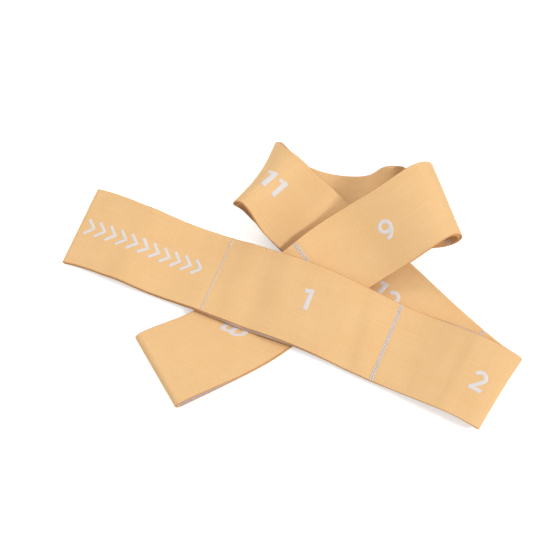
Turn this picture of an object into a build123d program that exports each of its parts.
"""Eight-loop woven elastic stretch band, lying folded on a flat surface.

One endless ring of elastic webbing is pressed flat, so the strap has a front ply and a back ply all
along, and seven cross seams join the plies into eight loops. The strap runs from its start end over
the top run, folds under at the right, crosses back as the base run, rolls over at the left, passes
under itself and rolls over again at the right, and comes back as the middle run to its free end.
Millimetres, +Z up, standing on z = 0, origin at the bottom centre of the bounding box.
"""
from build123d import *
from math import cos, dist, pi, radians, sin
from scipy.interpolate import CubicSpline
import os

os.makedirs("parts", exist_ok=True)

# ---- driving dimensions --------------------------------------------------------------------------
STRAP_WIDTH = 50.0
PLY = 1.4            # one thickness of woven elastic webbing
RUBBER = 0.5         # the layer of rubber threads inside it
RUBBER_ROOM = 0.1    # play between the rubber threads and the weave around them
SELVEDGE = 2.0       # woven edge with no rubber in it
PRESSED_GAP = 0.3    # between the plies beside a seam
SEAM_LENGTH = 3.4    # a cross seam's extent along the strap
SEAM_THICKNESS = 2.2
END_PLAY = 0.9       # between a seam and the webbing that starts beside it
SECTION_STEP = 3.5   # spacing of the sections that shape a run of webbing

START_LOOP = 90.0    # loop lengths along the strap as it lies, from the start end
LOOPS = (START_LOOP, 110.0, 110.0, 106.0, 106.0, 93.0, 110.0)

# The box of the whole strap, in the waypoints' own coordinates, which puts the origin at its foot.
BOX_CENTRE_X = 0.59
BOX_CENTRE_Y = -2.91
FLOOR = -0.16

# The strap's middle line: x, y and z, then the heading of its width in plan and how far that tilts.
WAYPOINTS = (
    (-126.5, 35.3, 2.8, 65.5, 2),      # start end
    (-107.0, 28.4, 5.5, 66.5, 2),
    (-90.0, 21.0, 6.5, 66.5, 0),
    (-71.0, 13.6, 3.4, 66.5, -1),
    (-43.5, 2.6, 6.6, 66.8, -1),
    (-20.0, -7.3, 10.4, 66.5, 9),
    (10.0, -18.8, 12.6, 66.0, 12),     # over the two runs below
    (35.0, -29.5, 9.6, 66.5, 12),
    (57.6, -39.9, 6.4, 67.5, 6),
    (78.0, -49.0, 8.5, 66.5, 6),
    (97.0, -58.2, 13.8, 64.0, 9),
    (111.0, -65.2, 14.0, 61.0, 11),
    (119.0, -69.6, 12.2, 59.0, 9),
    (123.0, -70.9, 8.0, 58.0, 6),      # right fold
    (122.5, -69.8, 4.4, 57.5, 3),
    (118.6, -66.3, 2.5, 57.0, 1),
    (103.0, -52.8, 1.9, 52.0, 0),
    (76.0, -27.5, 1.9, 47.0, 0),
    (57.0, -9.5, 3.4, 46.5, 3),
    (40.0, 6.0, 5.2, 46.0, 6),
    (21.0, 26.5, 7.0, 44.0, 3),
    (7.5, 39.0, 11.2, 42.0, -4),
    (-3.0, 46.5, 24.0, 42.0, -15),
    (-10.5, 53.5, 29.5, 46.0, -16),
    (-16.5, 59.0, 26.5, 54.0, -17),
    (-19.5, 63.0, 17.5, 62.0, -17),    # left fold
    (-15.0, 61.0, 8.5, 66.0, -13),
    (0.0, 51.0, 3.5, 75.0, -2),
    (20.0, 44.0, 1.9, 84.0, 0),
    (38.0, 41.8, 2.0, 88.0, 0),
    (49.0, 41.9, 4.2, 88.0, 5),
    (57.0, 42.7, 10.0, 90.0, 19),
    (64.0, 43.8, 11.5, 90.0, 20),
    (71.0, 44.9, 6.0, 94.0, 10),
    (80.0, 46.2, 2.6, 102.0, 2),
    (89.5, 46.8, 5.5, 108.0, 0),
    (93.0, 46.8, 14.5, 110.5, 0),      # back fold
    (87.0, 44.5, 25.0, 113.0, 0),
    (71.0, 34.5, 25.5, 118.0, 0),
    (50.0, 23.5, 16.0, 121.0, 2),
    (30.0, 11.5, 10.8, 124.0, 4),
    (14.7, -0.9, 9.8, 126.0, 8),
    (-8.0, -16.5, 3.2, 135.0, 2),
    (-35.0, -34.0, 2.6, 157.0, 0),     # the free flap bends here
    (-60.0, -47.0, 3.4, 135.0, 0),
    (-80.1, -57.0, 3.4, 118.5, 0),     # free end
)
TOP_BEND = 258.0      # where the top run lifts off the right fold, along the strap
MIDDLE_BEND = 642.0   # where the middle run leaves the back fold
FLAP_WAYPOINT = 43    # the waypoint at the free flap's bend
BEND_PLAY = 1.1       # bare length on each side of a bend
FLAP_PLAY = 2.2

START_GAP = 0.8       # between the plies at each end of the strap
FREE_GAP = 4.0


# ---- the strap's path ------------------------------------------------------------------------------
def width_direction(heading, tilt):
    return (
        cos(radians(heading)) * cos(radians(tilt)),
        sin(radians(heading)) * cos(radians(tilt)),
        sin(radians(tilt)),
    )


def running_length(points):
    total = [0.0]
    for before, after in zip(points, points[1:]):
        total.append(total[-1] + dist(before, after))
    return total


places = [(x - BOX_CENTRE_X, y - BOX_CENTRE_Y, z - FLOOR) for x, y, z, *_ in WAYPOINTS]
widths = [width_direction(*row[3:]) for row in WAYPOINTS]
knots = [0.0]
for here, there in zip(places, places[1:]):
    knots.append(knots[-1] + dist(here, there) ** 0.7)
middle_line = CubicSpline(knots, places)
width_line = CubicSpline(knots, widths)

FINE = 4000
fine_knots = [knots[-1] * n / FINE for n in range(FINE + 1)]
fine_lengths = running_length([tuple(middle_line(k)) for k in fine_knots])
knot_at = CubicSpline(fine_lengths, fine_knots)
STRAP_LENGTH = fine_lengths[-1]
FLAP_BEND = float(CubicSpline(fine_knots, fine_lengths)(knots[FLAP_WAYPOINT]))


class Station:
    """The strap's middle surface at one length along it: place, directions and width."""

    def __init__(self, length):
        knot = float(knot_at(length))
        self.centre = Vector(*middle_line(knot))
        self.across = Vector(*width_line(knot)).normalized()
        heading = Vector(*middle_line(knot, 1)).normalized()
        self.up = heading.cross(self.across).normalized()
        self.along = self.across.cross(self.up)
        self.width = STRAP_WIDTH / heading.cross(self.across).length

    def section(self, rise=0.0):
        """The plane across the strap, with its origin `rise` above the middle surface."""
        return Plane(
            origin=self.centre + self.up * rise, x_dir=self.across, z_dir=self.along
        )

    def side(self):
        """The plane along the strap, seen from its side, with x towards the strap's free end."""
        return Plane(origin=self.centre, x_dir=self.along, z_dir=-self.across)


SEAMS = [sum(LOOPS[: n + 1]) for n in range(len(LOOPS))]


# ---- webbing ---------------------------------------------------------------------------------------
def lengths_between(start, end):
    count = max(2, round((end - start) / SECTION_STEP))
    return [start + (end - start) * n / count for n in range(count + 1)]


def gap_profile(start, end, start_gap, end_gap, bulge):
    """Gap between the plies along a run: from one end's gap to the other's, wider in between."""

    def gap(length):
        share = (length - start) / (end - start)
        return start_gap + (end_gap - start_gap) * share + bulge * sin(pi * share) ** 2

    return gap


def ply_sections(lengths, gap, side):
    """Plane and width of each section across one ply, at the middle of its thickness."""
    sections = []
    for length in lengths:
        station = Station(length)
        rise = side * (gap(length) + PLY) / 2
        sections.append((station.section(rise), station.width))
    return sections


def keep(part, name):
    part.label = name
    export_step(part, f"parts/{name}.step")


def webbing(name, start, end, start_gap=PRESSED_GAP, end_gap=PRESSED_GAP, bulge=0.4):
    """Front and back plies of one run, each a woven sleeve around a layer of rubber threads."""
    lengths = lengths_between(start, end)
    gap = gap_profile(start, end, start_gap, end_gap, bulge)
    room = RUBBER + 2 * RUBBER_ROOM
    for side, ply in ((1, "front"), (-1, "back")):
        sections = ply_sections(lengths, gap, side)
        with BuildPart() as sleeve:
            for plane, width in sections:
                with BuildSketch(plane):
                    Rectangle(width, PLY)
            loft()
            for plane, width in sections:
                with BuildSketch(plane):
                    Rectangle(width - 2 * SELVEDGE, room)
            loft(mode=Mode.SUBTRACT)
        keep(sleeve.part, f"{name}_{ply}_web")
        with BuildPart() as rubber:
            for plane, width in sections:
                with BuildSketch(plane):
                    Rectangle(width - 2 * (SELVEDGE + RUBBER_ROOM), RUBBER)
            loft()
        keep(rubber.part, f"{name}_{ply}_rubber")


def cross_seam(number):
    """Bar of thread that binds both plies across the strap."""
    station = Station(SEAMS[number - 1])
    with BuildPart() as seam:
        with BuildSketch(station.section()):
            Rectangle(station.width, SEAM_THICKNESS)
        extrude(amount=SEAM_LENGTH / 2, both=True)
    keep(seam.part, f"cross_seam_{number}")


def end_turn(name, length, gap, outward):
    """The webbing's turn from the front ply to the back ply at an end of the strap."""
    station = Station(length)
    layers = (
        ("web", 0, PLY, station.width),
        ("rubber", (PLY - RUBBER) / 2, RUBBER, station.width - 2 * SELVEDGE),
    )
    room = RUBBER + 2 * RUBBER_ROOM
    for layer, inset, thickness, width in layers:
        inner = gap / 2 + inset
        with BuildPart() as turn:
            with BuildSketch(station.side()):
                half_ring(inner, thickness, outward)
            extrude(amount=width / 2, both=True)
            if layer == "web":
                with BuildSketch(station.side()):
                    half_ring(gap / 2 + (PLY - room) / 2, room, outward)
                hollow_width = station.width - 2 * SELVEDGE + 2 * RUBBER_ROOM
                extrude(amount=hollow_width / 2, both=True, mode=Mode.SUBTRACT)
        keep(turn.part, f"{name}_{layer}")


def half_ring(inner, thickness, outward):
    """Half of a ring that bulges towards `outward`, inside a BuildSketch block."""
    Circle(inner + thickness)
    Circle(inner, mode=Mode.SUBTRACT)
    reach = 2 * (inner + thickness)
    with Locations((-outward * reach / 2, 0)):
        Rectangle(reach, reach, mode=Mode.SUBTRACT)


# ---- the strap, from its start end to its free end ---------------------------------------------------
beside = SEAM_LENGTH / 2 + END_PLAY
s1, s2, s3, s4, s5, s6, s7 = SEAMS
start_length = PLY + START_GAP / 2
free_length = STRAP_LENGTH - PLY - FREE_GAP / 2

end_turn("start_end", start_length, START_GAP, -1)
webbing("loop_1", start_length + END_PLAY, s1 - beside, start_gap=START_GAP)
webbing("loop_2", s1 + beside, s2 - beside)
webbing("loop_3_top", s2 + beside, TOP_BEND - BEND_PLAY)
webbing("loop_3_fold", TOP_BEND + BEND_PLAY, s3 - beside)
webbing("loop_4", s3 + beside, s4 - beside)
webbing("loop_5", s4 + beside, s5 - beside)
webbing("loop_6", s5 + beside, s6 - beside)
webbing("loop_7_fold", s6 + beside, MIDDLE_BEND - BEND_PLAY)
webbing("loop_7_run", MIDDLE_BEND + BEND_PLAY, s7 - beside)
webbing("loop_8_run", s7 + beside, FLAP_BEND - FLAP_PLAY, bulge=0.2)
webbing(
    "loop_8_flap", FLAP_BEND + FLAP_PLAY, free_length - END_PLAY, end_gap=FREE_GAP, bulge=0.0
)
end_turn("free_end", free_length, FREE_GAP, 1)
for number in range(1, len(SEAMS) + 1):
    cross_seam(number)
